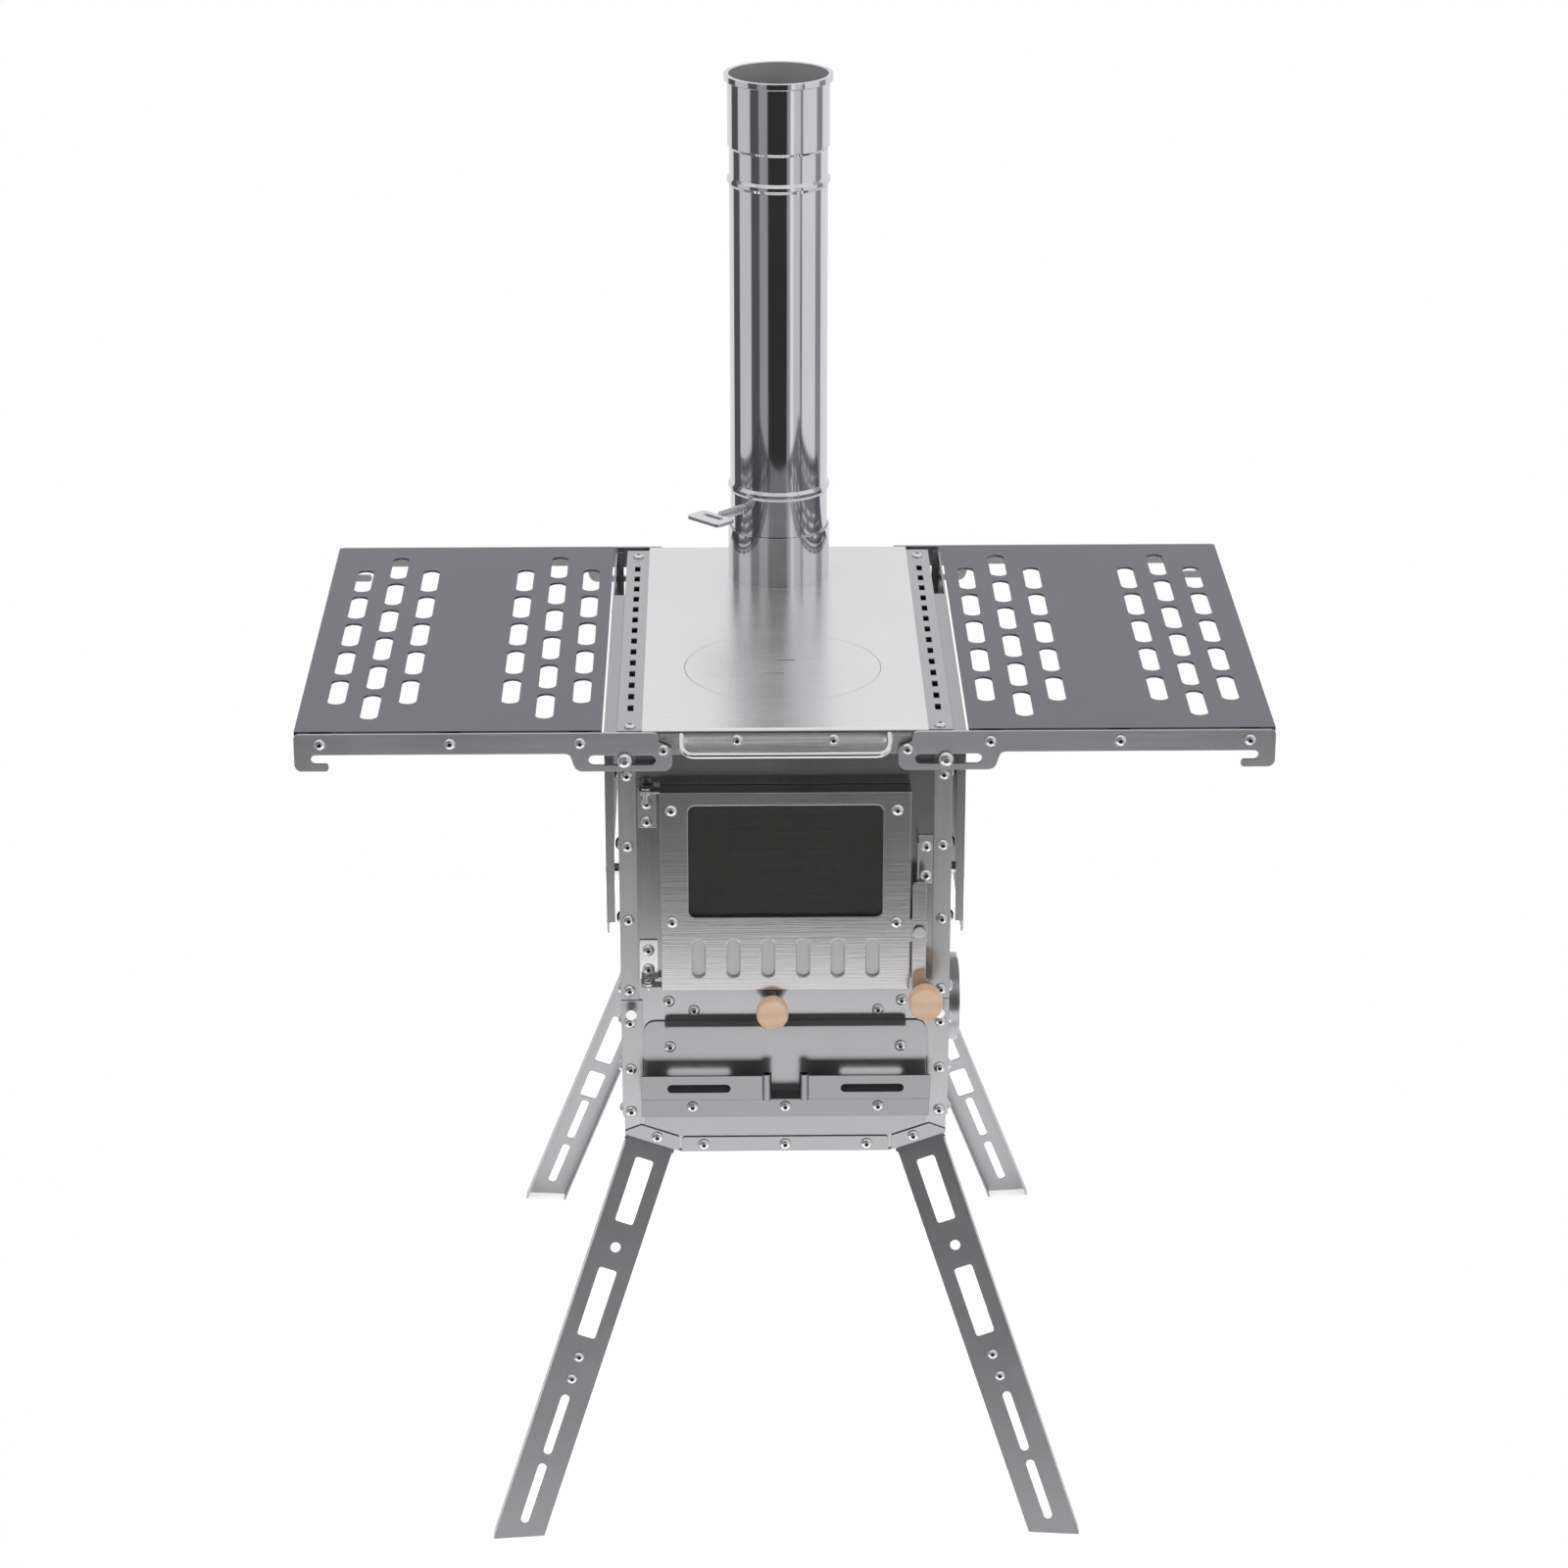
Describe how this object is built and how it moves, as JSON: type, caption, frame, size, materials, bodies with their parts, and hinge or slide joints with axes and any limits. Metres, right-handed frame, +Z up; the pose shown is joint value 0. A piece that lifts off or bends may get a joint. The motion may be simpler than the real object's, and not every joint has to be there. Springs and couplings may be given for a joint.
{
  "type": "tent stove",
  "caption": "Folding stainless tent stove: firebox with glazed door and ash drawer on splayed legs, slotted fold-down side shelves, lidded cook top and damped flue.",
  "frame": {"origin": "middle of the footprint, on the ground under the stove", "axes": "+X to the right seen from the door, +Y from the door to the back, +Z up"},
  "size_m": [0.65, 0.5236, 0.943],
  "materials": {
    "casing_steel": "satin brushed stainless sheet",
    "frame_steel": "folded stainless sheet, fine brushed",
    "cook_steel": "brushed stainless plate, dulled by heat",
    "pipe_steel": "bright rolled stainless sheet",
    "door_steel": "pressed stainless sheet, satin",
    "shelf_steel": "punched stainless sheet, satin",
    "rail_steel": "cut stainless bar, satin edges",
    "leg_steel": "punched and folded stainless channel",
    "fitting_steel": "bright drawn stainless",
    "inner_steel": "bare sheet, darkened inside",
    "grate_iron": "bare cast iron",
    "window_glass": "clear ceramic glass, dark behind",
    "seal": "woven heat-proof seal",
    "knob_wood": "pale turned beech, unfinished"
  },
  "bodies": {
    "stove": {"back_panel": "casing_steel", "bottom_pan": "casing_steel", "cook_plate": "cook_steel", "door_hinge_brackets": "fitting_steel", "door_hinge_pins": "fitting_steel", "fire_grate": "grate_iron", "firebox_floor": "inner_steel", "flue_collar": "pipe_steel", "front_panel": "casing_steel", "inner_ledges": "inner_steel", "latch_keeper": "fitting_steel", "left_shield": "casing_steel", "left_side_panel": "casing_steel", "left_vent_strip": "frame_steel", "leg_brackets": "fitting_steel", "leg_pins": "fitting_steel", "lid_ring": "fitting_steel", "lower_corner_posts": "frame_steel", "plate_handle": "fitting_steel", "port_collar": "fitting_steel", "right_shield": "casing_steel", "right_side_panel": "casing_steel", "right_vent_strip": "frame_steel", "shelf_studs": "fitting_steel", "shield_spacers": "fitting_steel", "shutter_guides": "inner_steel", "smoke_baffle": "inner_steel", "upper_corner_posts": "frame_steel"},
    "door": {"door_panel": "door_steel", "window_glass": "window_glass", "window_seal": "seal", "door_liner": "inner_steel", "door_rope_seal": "seal", "liner_standoffs": "inner_steel", "latch_pivot": "fitting_steel"},
    "latch": {"latch_lever": "door_steel", "latch_knob": "knob_wood"},
    "ash_drawer": {"ash_tray": "inner_steel", "drawer_front": "casing_steel", "drawer_pull": "frame_steel"},
    "air_slide": {"air_shutter": "inner_steel", "air_rod": "fitting_steel", "air_knob": "knob_wood"},
    "cooking_lid": {"cook_lid": "cook_steel"},
    "flue": {"flue_pipe": "pipe_steel"},
    "damper": {"damper_shaft": "fitting_steel", "damper_blade": "inner_steel", "damper_grip": "fitting_steel", "damper_spring": "fitting_steel"},
    "left_shelf_pivot": {"left_shelf_bushes": "fitting_steel"},
    "left_shelf": {"left_shelf_panel": "shelf_steel", "left_shelf_rails": "rail_steel"},
    "right_shelf_pivot": {"right_shelf_bushes": "fitting_steel"},
    "right_shelf": {"right_shelf_panel": "shelf_steel", "right_shelf_rails": "rail_steel"},
    "front_left_foot": {"front_left_leg": "leg_steel"},
    "front_right_foot": {"front_right_leg": "leg_steel"},
    "rear_left_foot": {"rear_left_leg": "leg_steel"},
    "rear_right_foot": {"rear_right_leg": "leg_steel"},
    "side_cap": {"port_cap": "frame_steel"}
  },
  "joints": [
    {"name": "door_hinge", "type": "hinge", "parent": "stove", "child": "door", "pos_m": [-0.0928, -0.195, 0.46], "axis": [0, 0, -1], "range_deg": [0, 110]},
    {"name": "latch_turn", "type": "hinge", "parent": "door", "child": "latch", "pos_m": [0.0897, -0.203, 0.434], "axis": [0, -1, 0], "range_deg": [0, 35]},
    {"name": "drawer_slide", "type": "slide", "parent": "stove", "child": "ash_drawer", "axis": [0, -1, 0], "range_m": [0, 0.24]},
    {"name": "air_pull", "type": "slide", "parent": "stove", "child": "air_slide", "axis": [0, -1, 0], "range_m": [0, 0.02]},
    {"name": "lid_lift", "type": "slide", "parent": "stove", "child": "cooking_lid", "axis": [0, 0, 1], "range_m": [0, 0.05]},
    {"name": "flue_lift", "type": "slide", "parent": "stove", "child": "flue", "axis": [0, 0, 1], "range_m": [0, 0.06]},
    {"name": "damper_turn", "type": "hinge", "parent": "flue", "child": "damper", "pos_m": [0, 0.128, 0.632], "axis": [-0.7071, -0.7071, 0], "range_deg": [0, 90]},
    {"name": "left_shelf_fold", "type": "hinge", "parent": "stove", "child": "left_shelf_pivot", "pos_m": [-0.1065, 0, 0.554], "axis": [0, -1, 0], "range_deg": [0, 86]},
    {"name": "left_shelf_slide", "type": "slide", "parent": "left_shelf_pivot", "child": "left_shelf", "axis": [-1, 0, 0], "range_m": [0, 0.015]},
    {"name": "right_shelf_fold", "type": "hinge", "parent": "stove", "child": "right_shelf_pivot", "pos_m": [0.1065, 0, 0.554], "axis": [0, 1, 0], "range_deg": [0, 86]},
    {"name": "right_shelf_slide", "type": "slide", "parent": "right_shelf_pivot", "child": "right_shelf", "axis": [1, 0, 0], "range_m": [0, 0.015]},
    {"name": "front_left_leg_fold", "type": "hinge", "parent": "stove", "child": "front_left_foot", "pos_m": [-0.09415, -0.172, 0.2603], "axis": [0.9426, 0, -0.3338], "range_deg": [0, 106.6]},
    {"name": "front_right_leg_fold", "type": "hinge", "parent": "stove", "child": "front_right_foot", "pos_m": [0.09415, -0.172, 0.2603], "axis": [0.9426, 0, 0.3338], "range_deg": [0, 106.6]},
    {"name": "rear_left_leg_fold", "type": "hinge", "parent": "stove", "child": "rear_left_foot", "pos_m": [-0.09332, 0.17089, 0.26265], "axis": [-0.9426, 0, 0.3338], "range_deg": [0, 106.6]},
    {"name": "rear_right_leg_fold", "type": "hinge", "parent": "stove", "child": "rear_right_foot", "pos_m": [0.09332, 0.17089, 0.26265], "axis": [-0.9426, 0, -0.3338], "range_deg": [0, 106.6]},
    {"name": "port_cap_turn", "type": "hinge", "parent": "stove", "child": "side_cap", "pos_m": [0.115, -0.07, 0.325], "axis": [1, 0, 0], "range_deg": [0, 90]}
  ]
}
